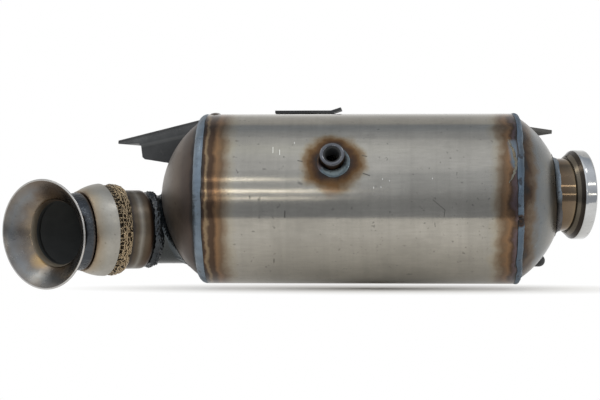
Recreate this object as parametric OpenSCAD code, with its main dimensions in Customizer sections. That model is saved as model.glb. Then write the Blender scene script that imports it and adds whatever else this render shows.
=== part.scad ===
// Diesel particulate filter: a welded can that holds a catalyst brick and a filter brick,
// with a ball-type mesh decoupler and a flared bell at the inlet and a clamp flange at the outlet.
// X runs along the can to the outlet, Y runs away from the viewer and Z is up.
// Pieces are drawn about the middle of the shell and moved so that the origin is the
// middle of the outlet flange's bore.

/* [Can] */
// Outer diameter of the rolled shell
shell_d = 155; // [150:1:160]
// Sheet thickness of the shell
shell_t = 1.5; // [1.2:0.1:2]
// How much larger the radius of a dome's crown is than the radius of its skirt
crown_over = 12.15; // [10:0.05:20]
// Sheet thickness of the end domes
dome_t = 1.5; // [1.2:0.1:2]
// Radius of the knuckle between crown and skirt
knuckle_r = 8; // [6:0.5:10]
// Straight skirt of a dome inside the shell
skirt_l = 12; // [8:1:16]
// How far a dome's knuckle starts inside the shell
dome_inset = 2.1; // [1:0.1:3]
// Height of the lengthwise seam weld
seam_h = 0.8; // [0.5:0.1:1.2]
// Width of the lengthwise seam weld
seam_w = 6; // [4:0.5:8]

/* [Bricks] */
// Thickness of the packing mats
mat_t = 4; // [3:0.5:5]
// Length of the oxidation catalyst brick
catalyst_l = 80; // [70:1:84]
// Length of the filter brick
filter_l = 127; // [118:1:130]
// Gap between the two bricks, where the sensor boss opens
sensor_gap = 38.2; // [34:0.1:50]
// Pitch of the modelled channels, coarser than the real cells
cell_pitch = 9; // [8:0.5:14]
// Wall between channels
cell_wall = 2; // [1.5:0.25:3]
// Depth of the plug that closes a filter channel
plug_l = 8; // [5:1:12]
// Thickness of the brick retaining rings
ring_t = 2; // [1.5:0.25:3]
// How far a retaining ring covers the edge of its brick
ring_lip = 6; // [4:1:9]
// Flange of the two inner retaining rings along the shell
ring_flange = 8; // [5:1:9]

/* [Seam welds] */
// Radius of the inlet seam bead's round top
inlet_bead_r = 8; // [7:0.5:9]
// Radius of the outlet seam bead's round top
outlet_bead_r = 7; // [6.5:0.5:8]

/* [Inlet] */
// Outer diameter of the inlet tube
tube_d = 63; // [60:1:66]
// Wall of the inlet tube, the bell and the neck
tube_t = 1.8; // [1.4:0.1:2.4]
// How far the tubes reach inside the domes
tube_inside = 4; // [2:1:8]
// Distance from the outside of the inlet tube to the outside of the shell below it
inlet_edge = 17.8; // [14:0.1:30]
// Distance of the inlet tube behind the can's axis
inlet_side = 8.7; // [0:0.5:14]
// Turn of the inlet stub toward the viewer
stub_turn = 8; // [0:1:12]
// Bend of the inlet tube
tube_bend = 19; // [10:1:24]
// Centre line radius of the inlet tube's bend
tube_bend_r = 44; // [40:1:80]
// Distance from the bend to the centre of the decoupler ball
ball_reach = 43.5; // [42.5:0.5:50]

/* [Decoupler] */
// Radius of the ball's outside
ball_r = 37; // [36:0.5:39]
// Radius of the ball's straight neck
ball_neck_r = 36; // [34.5:0.25:36]
// Distance from the ball's centre to its front edge
ball_front = 10; // [8:0.5:11]
// Distance from the ball's centre back to the end of its straight neck
ball_neck_l = 33.5; // [30:0.5:34.5]
// Radius of the shoulder between the neck and the collar
shoulder_r = 6; // [5.5:0.25:6.5]
// Radius of the round top of the bead between ball and tube
ball_bead_r = 7; // [6:0.5:9]
// Height of the bead between ball and tube
ball_bead_h = 3; // [2:0.25:4]
// Distance from the ball's centre to the socket's rear edge
socket_edge = 2.5; // [2:0.25:4]
// Distance from the ball's centre to the mesh's front edge
mesh_front = 14; // [12:0.5:16]
// Distance from the ball's centre back to the mesh's rear edge
mesh_rear = 15.5; // [14:0.5:18]
// Distance from the ball's centre back to the start of the mesh roll
mesh_roll_at = 5.4; // [5.2:0.1:7]
// Thickness of the knitted mesh in its socket
mesh_t = 3.3; // [2.5:0.1:4.5]
// Height of the mesh roll that shows behind the socket
mesh_roll = 1.4; // [0.6:0.1:1.6]
// Sheet thickness of ball and socket
cup_t = 1.5; // [1.2:0.1:2]
// Radius of the socket's neck
socket_neck_r = 36.4; // [36:0.1:37]
// Length of the socket's neck
socket_neck_l = 1; // [0.5:0.25:2]
// Running gap of the ball joint
ball_gap = 0.25; // [0.2:0.05:0.4]
// How far the decoupler stands swung toward the viewer
cock = 7; // [0:1:8]
// How far the inlet bell hangs down
droop = 3; // [0:1:4]

/* [Bell] */
// Inner diameter of the bell's throat
throat_d = 57.4; // [54:0.2:58]
// Straight throat in front of the bend
throat_l = 6; // [5:0.5:10]
// Bend between the decoupler and the bell
bell_bend = 24.5; // [15:0.5:28]
// Centre line radius of the bell's bend
bell_bend_r = 36; // [36:1:44]
// Distance from the ball's centre to the bell's bend
bell_bend_z = 24.6; // [23:0.2:28]
// Length of the bell's tail inside the ball
bell_tail = 12; // [8:1:14]
// Radius of the bell's inner curve at the throat
bell_curve_r = 10; // [6:0.5:14]
// Half angle of the bell's cone
bell_cone = 46; // [38:1:52]
// Inner radius of the bell's rim
bell_rim_r = 48.4; // [44:0.2:54]
// Outer radius of the weld collar behind the bell
bell_collar_r = 35.6; // [35:0.2:36]

/* [Outlet] */
// Outer diameter of the outlet neck
neck_d = 66; // [62:1:70]
// Turn of the outlet neck away from the viewer
outlet_turn = 15; // [0:1:16]
// Distance of the neck's root behind the can's axis
outlet_side = 5.2; // [0:0.2:8]
// Distance of the neck's root above the can's axis
outlet_rise = 3.7; // [0:0.1:6]
// Distance from the dome's crown to the flange face
outlet_reach = 19.9; // [19:0.1:30]
// How far the clamp flange's rim stands above the neck
rim_h = 7.7; // [6:0.1:11]
// Width of the clamp flange's rim
rim_w = 10.5; // [9:0.5:14]
// Length of the clamp flange's cone
cone_l = 7; // [4:0.5:8]
// Depth of flange in front of the neck's end
flange_stop = 6; // [4:0.5:8]
// How much wider the flange's bore is than the neck's
flange_step = 0.5; // [0.2:0.1:1]
// Depth of the gasket groove in the flange face
groove_h = 1.2; // [0.6:0.1:2]

/* [Sensor boss] */
// Outer diameter of the sensor boss
boss_d = 22; // [20:0.5:24]
// Height of the boss above the shell
boss_h = 15; // [12:0.5:18]
// Tapping radius of the M14 thread
boss_bore_r = 6.25; // [5:0.05:7]
// Angle of the boss above the level on the viewer's side
boss_up = 25; // [15:1:35]
// Width of the boss weld at its foot
boss_weld_w = 4; // [3:0.25:5]
// Height of the boss weld
boss_weld_h = 5; // [3:0.5:6]

/* [Tube welds] */
// Width of the weld on a dome around a tube
saddle_w = 6; // [4:0.5:7]
// Height of the weld on a dome around a tube
saddle_h = 3.5; // [2.5:0.25:4.5]

/* [Brackets] */
// Sheet thickness of the brackets
bracket_t = 2.5; // [2:0.25:3.5]
// Bolt hole diameter of the brackets
bolt_d = 9; // [6.6:0.2:11]
// Distance of the inlet bracket's front flange behind the can's axis
inlet_arm_y = 30; // [27:1:34]
// Width of the inlet bracket's web
inlet_arm_w = 40; // [32:1:50]
// Length of the inlet bracket along its slope
inlet_arm_l = 92; // [86:1:94]
// Slope of the inlet bracket
inlet_arm_slope = 14; // [12:0.5:15]
// Distance of the inlet bracket's tip outside the dome's crown
inlet_arm_out = 46.5; // [42:0.5:50]
// Distance of the inlet bracket's tip below the shell's top
inlet_arm_below = 22.5; // [19:0.5:24]
// Bend radius of the inlet bracket's front edge
inlet_arm_bend = 12; // [6:0.5:14]
// Length of the tip that has no front flange
inlet_tip_l = 22; // [18:1:26]
// Height of the tip's front edge at its free end
inlet_tip_h = 3.5; // [3:0.25:5]
// Slope of the tip's lower edge against the web
inlet_tip_slope = 19; // [10:1:22]
// Height of the front flange at its free end
inlet_flange_h = 23; // [18:0.5:26]
// Cut across the lower corner of the front flange
inlet_corner = 2; // [1:0.25:4]
// Slope of the front flange's lower edge against the web
inlet_flange_slope = 23; // [15:1:30]
// Length of the top bracket
top_l = 54; // [46:1:60]
// Distance of the top bracket's left end from the shell's inlet end
top_in = 59.5; // [54:0.5:70]
// Height of the top bracket above the shell's top
top_gap = 1.5; // [1:0.1:4]
// Distance of the top bracket's front edge behind the can's axis
top_y = 14; // [10:1:18]
// Width of the top bracket
top_w = 38; // [32:1:44]
// Length of the raised lip of the top bracket
top_lip_l = 7; // [5:0.5:10]
// Slope of the raised lip
top_lip_slope = 18; // [8:1:25]
// Distance between the top bracket's bolt holes
top_pitch = 28; // [22:1:30]
// Distance of the outlet bracket's front flange behind the can's axis
outlet_arm_y = 38; // [36:1:44]
// Width of the outlet bracket's web
outlet_arm_w = 34; // [28:1:40]
// Length of the outlet bracket along its slope
outlet_arm_l = 76; // [66:1:84]
// Slope of the outlet bracket
outlet_arm_slope = 8.5; // [6:0.5:12]
// Distance of the outlet bracket's tip inside the dome's crown
outlet_arm_in = 5.5; // [0:0.5:10]
// Distance of the outlet bracket's tip below the shell's top
outlet_arm_below = 13.5; // [11:0.5:15]
// Height of the outlet bracket's front flange at its free end
outlet_flange_h = 3.5; // [3:0.25:6]
// Slope of the outlet flange's lower edge against the web
outlet_flange_slope = 17; // [10:1:22]
// Bend radius of the top and outlet brackets
bend_r = 4; // [3:0.5:6]

/* [Hanger] */
// Diameter of the hanger pin
pin_d = 12; // [10:0.5:14]
// Length of the hanger pin
pin_l = 101; // [80:1:110]
// Length of the free end that takes the hanger
pin_free_l = 22; // [16:0.5:24]
// How much the free end is turned down
pin_step = 0.25; // [0.1:0.05:0.5]
// Length of the hanger pin that lies along the shell
pin_lap = 68; // [58:1:74]
// Angle of the hanger pin below the level on the far side
pin_down = 44; // [30:1:60]
// Length of each hanger weld
pin_weld_l = 16; // [10:1:24]

/* [Fit] */
// Gap between pieces that slide into each other before welding
fit = 0.15; // [0.1:0.05:0.25]

/* [Hidden] */
$fn = 96;

shell_r = shell_d / 2;
bore_r = shell_r - shell_t;

// The bricks set how far apart the skirts stand, and so the length of the shell
brick_r = bore_r - mat_t - 2 * fit;
brick_outer_end = (catalyst_l + filter_l + sensor_gap) / 2;
skirt_end = brick_outer_end + ring_t + 2 * fit;
shell_end = skirt_end + skirt_l + dome_inset;
shell_l = 2 * shell_end;
catalyst_x = -brick_outer_end;
filter_x = brick_outer_end - filter_l;
catalyst_rear = catalyst_x + catalyst_l;
boss_x = (catalyst_rear + filter_x) / 2;

// Domes: the knuckle is tangent to the crown and to the skirt
skirt_r = bore_r - fit;
dome_r = skirt_r + crown_over;
knuckle_c = skirt_r - knuckle_r;
knuckle_y = sqrt(pow(dome_r - knuckle_r, 2) - pow(knuckle_c, 2));
knuckle_lean = atan2(knuckle_c, knuckle_y);
dome_c = shell_end - dome_inset - knuckle_y;
crown_x = dome_c + dome_r;
shell_above_crown = shell_end - dome_c;
top_start = top_in - shell_end;

// Inlet tube and decoupler
tube_r = tube_d / 2;
inlet_drop = shell_r - inlet_edge - tube_r;
throat_r = throat_d / 2;
tail_r = throat_r + tube_t;
socket_in_r = ball_r + mesh_t + 2 * ball_gap;
socket_r = socket_in_r + cup_t;
socket_shoulder = sqrt(pow(socket_r, 2) - pow(socket_neck_r, 2));
socket_neck_in_r = sqrt(pow(socket_in_r, 2) - pow(socket_shoulder, 2));
socket_end = socket_shoulder + socket_neck_l;
ball_neck_z = -sqrt(pow(ball_r, 2) - pow(ball_neck_r, 2));
ball_neck_in_r = sqrt(pow(ball_r - cup_t, 2) - pow(ball_neck_z, 2));
shoulder_z = -ball_neck_l;
collar_z = fit - ball_reach;
collar_top = shoulder_z - shoulder_r + 0.8;

// Outlet
neck_r = neck_d / 2;
neck_in_r = neck_r - 1.5;
flange_r = neck_r + rim_h;
flange_bore_r = neck_in_r + flange_step;
flange_back = outlet_reach - rim_w - cone_l;
origin_reach = outlet_reach - flange_stop / 2;
origin = [crown_x + origin_reach * cos(outlet_turn), outlet_side + origin_reach * sin(outlet_turn),
    outlet_rise];

stainless = [0.60, 0.57, 0.53];
tinted = [0.45, 0.40, 0.36];
weld = [0.42, 0.46, 0.51];
dark_steel = [0.20, 0.20, 0.20];

module from_origin() translate(-origin) children();
module along_x() rotate([0, 90, 0]) children();
module against_x() rotate([0, -90, 0]) children();
module at_inlet_dome() translate([-dome_c, 0, 0]) against_x() children();
module at_outlet_dome() translate([dome_c, 0, 0]) along_x() children();

// Inlet frames have their own z out of the can and their own y toward the viewer
module past_bend(r, a) translate([0, r * (1 - cos(a)), r * sin(a)]) rotate([-a, 0, 0]) children();
module at_stub() translate([-crown_x, inlet_side, -inlet_drop]) rotate([0, 90, 180 + stub_turn])
    children();
module at_ball() at_stub() past_bend(tube_bend_r, tube_bend) translate([0, 0, ball_reach]) children();
module at_socket() at_ball() rotate([-cock, 0, 0]) rotate([0, droop, 0]) children();
module at_mouth() at_socket() translate([0, 0, bell_bend_z]) past_bend(bell_bend_r, bell_bend) children();
module at_neck() translate([crown_x, outlet_side, outlet_rise]) rotate([0, 90, outlet_turn]) children();
module at_boss() translate([boss_x, 0, 0]) rotate([90 - boss_up, 0, 0]) children();

module tube(r_out, r_in, h) {
    difference() {
        cylinder(r = r_out, h = h);
        translate([0, 0, -1]) cylinder(r = r_in, h = h + 2);
    }
}

// A bend that starts along z and turns toward y
module bend(r, a) {
    translate([0, r, 0]) rotate([90, 0, -90]) rotate_extrude(angle = a) translate([r, 0]) children();
}

module ring_area(r_out, r_in) {
    difference() {
        circle(r = r_out);
        circle(r = r_in);
    }
}

// A stretch of ring between two directions less than a half turn apart
module arc_area(r_out, r_in, from, to) {
    far = 3 * r_out;
    mid = (from + to) / 2;
    intersection() {
        ring_area(r_out, r_in);
        polygon([[0, 0], far * [cos(from), sin(from)], far * [cos(mid), sin(mid)],
            far * [cos(to), sin(to)]]);
    }
}

// The part of a profile between two levels
module level_band(low, high, reach) {
    intersection() {
        children();
        translate([0, low]) square([reach, high - low]);
    }
}

module dish() {
    meet = (dome_r - dome_t / 2) * cos(knuckle_lean);
    rotate_extrude() {
        level_band(meet, 2 * dome_r, 2 * dome_r) ring_area(dome_r, dome_r - dome_t);
        intersection() {
            translate([knuckle_c, knuckle_y]) ring_area(knuckle_r, knuckle_r - dome_t);
            translate([knuckle_c, knuckle_y]) square([2 * knuckle_r, meet - knuckle_y]);
        }
        translate([skirt_r - dome_t, knuckle_y - skirt_l]) square([dome_t, skirt_l]);
    }
}

// A round bead in the corner between a dome's crown and the end of the shell
module seam_bead(r, centre_r, centre_y) {
    rotate_extrude() difference() {
        translate([centre_r, centre_y]) circle(r = r, $fn = 240);
        circle(r = dome_r + fit, $fn = 720);
        translate([skirt_r, shell_above_crown - 2 * r]) square([shell_r + fit - skirt_r, 2 * r + fit]);
    }
}

// The layer on a dome from its surface up to a height
module dome_layer(low, high) {
    difference() {
        sphere(r = dome_r + high);
        sphere(r = dome_r + low);
    }
}

module inlet_path(r) {
    at_stub() {
        translate([0, 0, -dome_r / 2]) cylinder(r = r, h = dome_r / 2);
        bend(tube_bend_r, tube_bend) circle(r = r);
    }
}

module channel_area(parity) {
    count = floor(brick_r / cell_pitch);
    gap = cell_pitch - cell_wall;
    for (i = [-count : count], j = [-count : count])
        if (norm([abs(i) + 0.5, abs(j) + 0.5]) * cell_pitch < brick_r - cell_wall
            && (parity < 0 || (i + j + 2 * count) % 2 == parity))
            translate([i * cell_pitch, j * cell_pitch]) square(gap, center = true);
}

module mat(x, l) {
    translate([x, 0, 0]) along_x() tube(bore_r - fit, brick_r + fit, l);
}

// A retaining ring whose flange runs up from its lip along the shell
module retainer(flange) {
    tube(skirt_r, brick_r - ring_lip, ring_t);
    if (flange > 0) tube(skirt_r, skirt_r - ring_t, ring_t + flange);
}

// An angle section along x: web top at z 0, flange down at y 0
module angle_section(l, web_w, flange_h, r) {
    rotate([90, 0, 90]) linear_extrude(height = l) {
        translate([r, -bracket_t]) square([web_w - r, bracket_t]);
        translate([0, -flange_h]) square([bracket_t, flange_h - r]);
        translate([r, -r]) arc_area(r, r - bracket_t, 180, 90);
    }
}

module shell_cope() translate([-shell_end, 0, 0]) along_x() cylinder(r = shell_r + fit, h = shell_l);

// The end of the can that a bracket is cut to fit, with room for the seam bead
module end_cope() {
    bead_room = 1.6 * inlet_bead_r;
    rotate_extrude() {
        level_band(shell_above_crown, 2 * dome_r, 2 * dome_r) circle(r = dome_r + fit);
        translate([0, shell_above_crown - shell_end]) square([shell_r + fit, shell_end]);
        translate([0, shell_above_crown - bead_room / 4]) square([shell_r + 1.2, bead_room]);
    }
}

module shell() {
    color(stainless) difference() {
        translate([-shell_end, 0, 0]) along_x() tube(shell_r, bore_r, shell_l);
        at_boss() cylinder(r = boss_bore_r + 1, h = shell_d);
    }
}

module shell_seam_weld() {
    l = shell_l - 2 * outlet_bead_r;
    color(weld) intersection() {
        translate([-l / 2, 0, 0]) along_x() tube(shell_r + seam_h, shell_r + fit, l);
        translate([-l / 2, 0, -seam_w / 2]) cube([l, shell_d, seam_w]);
    }
}

module inlet_dome() {
    color(tinted) difference() {
        at_inlet_dome() dish();
        inlet_path(tube_r + fit);
    }
}

module outlet_dome() {
    color(stainless) difference() {
        at_outlet_dome() dish();
        at_neck() translate([0, 0, -dome_r / 2]) cylinder(r = neck_r + fit, h = dome_r);
    }
}

module inlet_seam_weld() {
    color(weld) at_inlet_dome() seam_bead(inlet_bead_r, shell_r - inlet_bead_r, shell_above_crown + 0.5);
}

module outlet_seam_weld() {
    color(weld) at_outlet_dome()
        seam_bead(outlet_bead_r, shell_r + 0.8 - outlet_bead_r, shell_above_crown + 0.8);
}

module catalyst_brick() {
    color("burlywood") translate([catalyst_x, 0, 0]) along_x()
        linear_extrude(height = catalyst_l) difference() {
            circle(r = brick_r);
            channel_area(-1);
        }
}

module catalyst_mat() color("gainsboro") mat(catalyst_x, catalyst_l);

module catalyst_front_ring() {
    color(stainless) translate([catalyst_x - fit, 0, 0]) against_x() retainer(0);
}

module catalyst_rear_ring() {
    color(stainless) translate([catalyst_rear + fit, 0, 0]) along_x() retainer(ring_flange);
}

// Channels open at one end only, in a chequered pattern, so that gas passes their walls
module filter_brick() {
    color("dimgray") translate([filter_x, 0, 0]) along_x() difference() {
        cylinder(r = brick_r, h = filter_l);
        translate([0, 0, -1]) linear_extrude(height = filter_l + 1 - plug_l) channel_area(0);
        translate([0, 0, plug_l]) linear_extrude(height = filter_l) channel_area(1);
    }
}

module filter_mat() color("gainsboro") mat(filter_x, filter_l);

module filter_front_ring() {
    color(stainless) translate([filter_x - fit, 0, 0]) against_x() retainer(ring_flange);
}

module filter_rear_ring() {
    color(stainless) translate([filter_x + filter_l + fit, 0, 0]) along_x() retainer(0);
}

module inlet_tube() {
    color(tinted) difference() {
        at_stub() {
            translate([0, 0, -dome_r / 2]) tube(tube_r, tube_r - tube_t, dome_r / 2);
            bend(tube_bend_r, tube_bend) ring_area(tube_r, tube_r - tube_t);
        }
        translate([-dome_c, 0, 0]) sphere(r = dome_r - dome_t - tube_inside);
    }
}

module inlet_tube_weld() {
    color(weld) difference() {
        intersection() {
            at_stub() translate([0, 0, -dome_r / 2]) cylinder(r = tube_r + saddle_w, h = dome_r);
            translate([-dome_c, 0, 0]) dome_layer(fit, saddle_h);
        }
        inlet_path(tube_r + fit);
    }
}

// The inner half of the decoupler: a ball zone, a straight neck, a shoulder and a collar
module decoupler_ball() {
    lap = 0.5;
    color(tinted) at_ball() rotate_extrude() {
        level_band(ball_neck_z - lap, ball_front, ball_r + 1) ring_area(ball_r, ball_r - cup_t);
        translate([ball_neck_in_r, shoulder_z])
            square([ball_neck_r - ball_neck_in_r, ball_neck_z - shoulder_z + lap / 2]);
        translate([ball_neck_r - shoulder_r, shoulder_z])
            arc_area(shoulder_r, shoulder_r - ball_neck_r + ball_neck_in_r, 4, -90);
        translate([tube_r - cup_t, collar_z]) square([cup_t, collar_top - collar_z]);
    }
}

// A wide bead over the joint of ball and tube, with room for the tube's bend under it
// and for the weld on the dome beside it
module decoupler_ball_weld() {
    bend_room = 1.2;
    color(weld) difference() {
        at_ball() rotate_extrude() difference() {
            translate([tube_r + ball_bead_h - ball_bead_r, -ball_reach]) circle(r = ball_bead_r, $fn = 240);
            translate([0, -ball_reach - 2 * ball_bead_r]) square([tube_r + bend_room, 4 * ball_bead_r]);
            translate([ball_neck_r - shoulder_r, shoulder_z]) circle(r = shoulder_r + fit, $fn = 240);
        }
        translate([-dome_c, 0, 0]) sphere(r = dome_r + saddle_h + fit, $fn = 360);
    }
}

// Knitted wire: a spherical seat inside the socket and a roll that shows behind it
module decoupler_mesh() {
    seat_r = ball_r + ball_gap;
    color("sienna") at_ball() rotate_extrude() difference() {
        union() {
            level_band(-mesh_rear, mesh_front, socket_r) circle(r = seat_r + mesh_t);
            level_band(-mesh_rear, -mesh_roll_at, socket_r) circle(r = seat_r + mesh_t + mesh_roll);
        }
        circle(r = seat_r);
        translate([0, -mesh_rear - 1]) square([seat_r, 1 + mesh_rear]);
    }
}

module decoupler_socket() {
    lap = 0.4;
    color(stainless) at_socket() rotate_extrude() {
        level_band(socket_edge, socket_shoulder + lap, socket_r + 1) ring_area(socket_r, socket_in_r);
        translate([socket_neck_in_r, socket_shoulder - lap / 2])
            square([socket_neck_r - socket_neck_in_r, socket_neck_l + lap / 2]);
    }
}

// The bent tube whose tail guides the gas through the ball
module inlet_elbow() {
    color(tinted) at_socket() translate([0, 0, bell_bend_z]) {
        translate([0, 0, -bell_tail - bell_bend_z]) tube(tail_r, throat_r, bell_tail + bell_bend_z);
        bend(bell_bend_r, bell_bend) ring_area(tail_r, throat_r);
    }
}

// A drawn throat that curves out into the flared mouth
module inlet_bell() {
    curve_c = throat_r + bell_curve_r;
    lap = 0.01;
    cone_len = (bell_rim_r - curve_c + bell_curve_r * cos(bell_cone)) / sin(bell_cone);
    color(tinted) at_mouth() rotate_extrude() {
        translate([throat_r, fit]) square([tube_t, throat_l - fit]);
        translate([curve_c, throat_l]) {
            arc_area(bell_curve_r, bell_curve_r - tube_t, 180, 180 - bell_cone);
            rotate(-bell_cone) translate([-bell_curve_r - lap, -30 * lap])
                square([tube_t + 2 * lap, cone_len + 30 * lap]);
        }
    }
}

module bell_weld() {
    color(weld) at_socket() difference() {
        translate([0, 0, bell_bend_z]) {
            translate([0, 0, -socket_end]) tube(bell_collar_r, tail_r + fit, socket_end);
            bend(bell_bend_r, bell_bend) ring_area(bell_collar_r, tail_r + fit);
        }
        translate([-shell_d, -shell_d, -shell_d]) cube([2 * shell_d, 2 * shell_d, shell_d + socket_end + fit]);
    }
}

module outlet_neck() {
    color(tinted) difference() {
        at_neck() translate([0, 0, -dome_r / 2])
            tube(neck_r, neck_in_r, dome_r / 2 + outlet_reach - flange_stop - fit);
        translate([dome_c, 0, 0]) sphere(r = dome_r - dome_t - tube_inside);
    }
}

module outlet_neck_weld() {
    color(weld) intersection() {
        at_neck() translate([0, 0, -dome_r / 2]) tube(neck_r + saddle_w, neck_r + fit, dome_r / 2 + flange_back - fit);
        translate([dome_c, 0, 0]) dome_layer(fit, saddle_h);
    }
}

module outlet_flange() {
    back = outlet_reach - rim_w;
    chamfer = 0.8;
    color(stainless) at_neck() rotate_extrude() difference() {
        polygon([[flange_bore_r, outlet_reach], [flange_r - chamfer, outlet_reach],
            [flange_r, outlet_reach - chamfer], [flange_r, back], [neck_r + 1, back - cone_l],
            [flange_bore_r, back - cone_l]]);
        translate([0, back - cone_l - 1]) square([neck_r + fit, rim_w + cone_l - flange_stop + 1]);
        translate([neck_r + 0.13 * rim_h, outlet_reach - groove_h]) square([0.39 * rim_h, 2 * groove_h]);
    }
}

module sensor_boss() {
    mouth = 1.2;
    color(tinted) difference() {
        at_boss() difference() {
            cylinder(r = boss_d / 2, h = shell_r + boss_h);
            cylinder(r = boss_bore_r, h = shell_d);
            translate([0, 0, shell_r + boss_h - mouth])
                cylinder(r1 = boss_bore_r, r2 = boss_bore_r + mouth, h = mouth + 0.01);
        }
        shell_cope();
    }
}

module sensor_boss_weld() {
    foot = boss_d / 2 + boss_weld_w;
    sunk = shell_r - sqrt(pow(shell_r, 2) - pow(foot, 2));
    color(weld) difference() {
        at_boss() difference() {
            translate([0, 0, shell_r - sunk])
                cylinder(r1 = foot + sunk, r2 = boss_d / 2, h = boss_weld_h + sunk, $fn = 240);
            cylinder(r = boss_d / 2 + fit, h = shell_d, $fn = 240);
        }
        shell_cope($fn = 360);
    }
}

// All that lies below a line that starts at x and z and falls along x
module below_line(x, z, fall) {
    far = 2 * shell_d;
    translate([x, -far / 2, z]) rotate([0, fall, 0]) translate([-far, 0, -far]) cube([2 * far, far, far]);
}

// All that lies before an edge that leans back from upright by an angle
module before_edge(x, lean) {
    far = 2 * shell_d;
    translate([x, -far / 2, 0]) rotate([0, lean, 0]) translate([-far, 0, -far]) cube([far, far, 2 * far]);
}

module inlet_bracket() {
    lean = inlet_arm_slope / 2;
    corner_x = inlet_tip_l - inlet_flange_h * tan(lean);
    corner_z = inlet_corner - inlet_flange_h;
    color(dark_steel) difference() {
        translate([-crown_x - inlet_arm_out, inlet_arm_y, shell_r - inlet_arm_below]) rotate([0, -inlet_arm_slope, 0])
            difference() {
                angle_section(inlet_arm_l, inlet_arm_w, inlet_arm_l, inlet_arm_bend);
                intersection() {
                    below_line(0, -inlet_tip_h, inlet_tip_slope);
                    before_edge(inlet_tip_l, lean);
                }
                below_line(corner_x, -inlet_flange_h, inlet_flange_slope);
                intersection() {
                    below_line(corner_x, corner_z, (90 + inlet_flange_slope) / 2);
                    below_line(corner_x, corner_z + 0.5, 0);
                }
                translate([inlet_tip_l - bolt_d, inlet_arm_w * 0.6, -2 * bracket_t])
                    cylinder(r = bolt_d / 2, h = 3 * bracket_t);
            }
        at_inlet_dome() end_cope();
    }
}

module top_bracket() {
    z = shell_r + top_gap + bracket_t;
    color(dark_steel) difference() {
        translate([top_start, top_y + top_w, z]) {
            mirror([0, 1, 0]) angle_section(top_l, top_w, shell_r, bend_r);
            translate([top_l - bracket_t, 0, 0]) rotate([0, -top_lip_slope, 0]) mirror([0, 1, 0])
                translate([0, 2 * bend_r, -bracket_t])
                    cube([top_lip_l + bracket_t, top_w - 2 * bend_r, bracket_t]);
        }
        for (side = [-1, 1])
            translate([top_start + top_l / 2 + side * top_pitch / 2, top_y + top_w / 2, z - 2 * bracket_t])
                cylinder(r = bolt_d / 2, h = 3 * bracket_t);
        shell_cope();
    }
}

module outlet_bracket() {
    color(dark_steel) difference() {
        translate([crown_x - outlet_arm_in, outlet_arm_y, shell_r - outlet_arm_below]) rotate([0, outlet_arm_slope, 0])
            translate([-outlet_arm_l, 0, 0]) difference() {
                angle_section(outlet_arm_l, outlet_arm_w, outlet_arm_l, bend_r);
                below_line(outlet_arm_l, -outlet_flange_h, -outlet_flange_slope);
                translate([outlet_arm_l - bolt_d, outlet_arm_w * 0.6, -2 * bracket_t])
                    cylinder(r = bolt_d / 2, h = 3 * bracket_t);
            }
        at_outlet_dome() end_cope();
    }
}

module at_pin() {
    off = shell_r + fit + pin_d / 2;
    translate([shell_end - pin_lap, off * cos(pin_down), -off * sin(pin_down)]) along_x() children();
}

module hanger_pin() {
    tip_r = pin_d / 2 - pin_step;
    color(dark_steel) at_pin() {
        cylinder(r = pin_d / 2, h = pin_l - pin_free_l);
        cylinder(r = tip_r, h = pin_l - tip_r);
        translate([0, 0, pin_l - tip_r]) sphere(r = tip_r);
    }
}

// Fillets in the corner between pin and shell
module hanger_weld() {
    r = pin_d / 2;
    color(weld) for (at = [4, 4 + 2 * pin_weld_l]) difference() {
        at_pin() translate([0, 0, at]) rotate([0, 0, -pin_down]) linear_extrude(height = pin_weld_l)
            difference() {
                polygon([[-1.5 * r, -r - 1], [1.5 * r, -r - 1], [r, 0], [-r, 0]]);
                circle(r = r + fit, $fn = 240);
            }
        shell_cope($fn = 720);
    }
}

from_origin() {
    shell();
    shell_seam_weld();
    inlet_dome();
    outlet_dome();
    inlet_seam_weld();
    outlet_seam_weld();
    catalyst_brick();
    catalyst_mat();
    catalyst_front_ring();
    catalyst_rear_ring();
    filter_brick();
    filter_mat();
    filter_front_ring();
    filter_rear_ring();
    inlet_tube();
    inlet_tube_weld();
    decoupler_ball();
    decoupler_ball_weld();
    decoupler_mesh();
    decoupler_socket();
    inlet_elbow();
    bell_weld();
    inlet_bell();
    outlet_neck();
    outlet_neck_weld();
    outlet_flange();
    sensor_boss();
    sensor_boss_weld();
    inlet_bracket();
    top_bracket();
    outlet_bracket();
    hanger_pin();
    hanger_weld();
}
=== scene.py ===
"""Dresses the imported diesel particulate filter: heat-tinted stainless, rippled welds, knitted wire."""
import math

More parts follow.
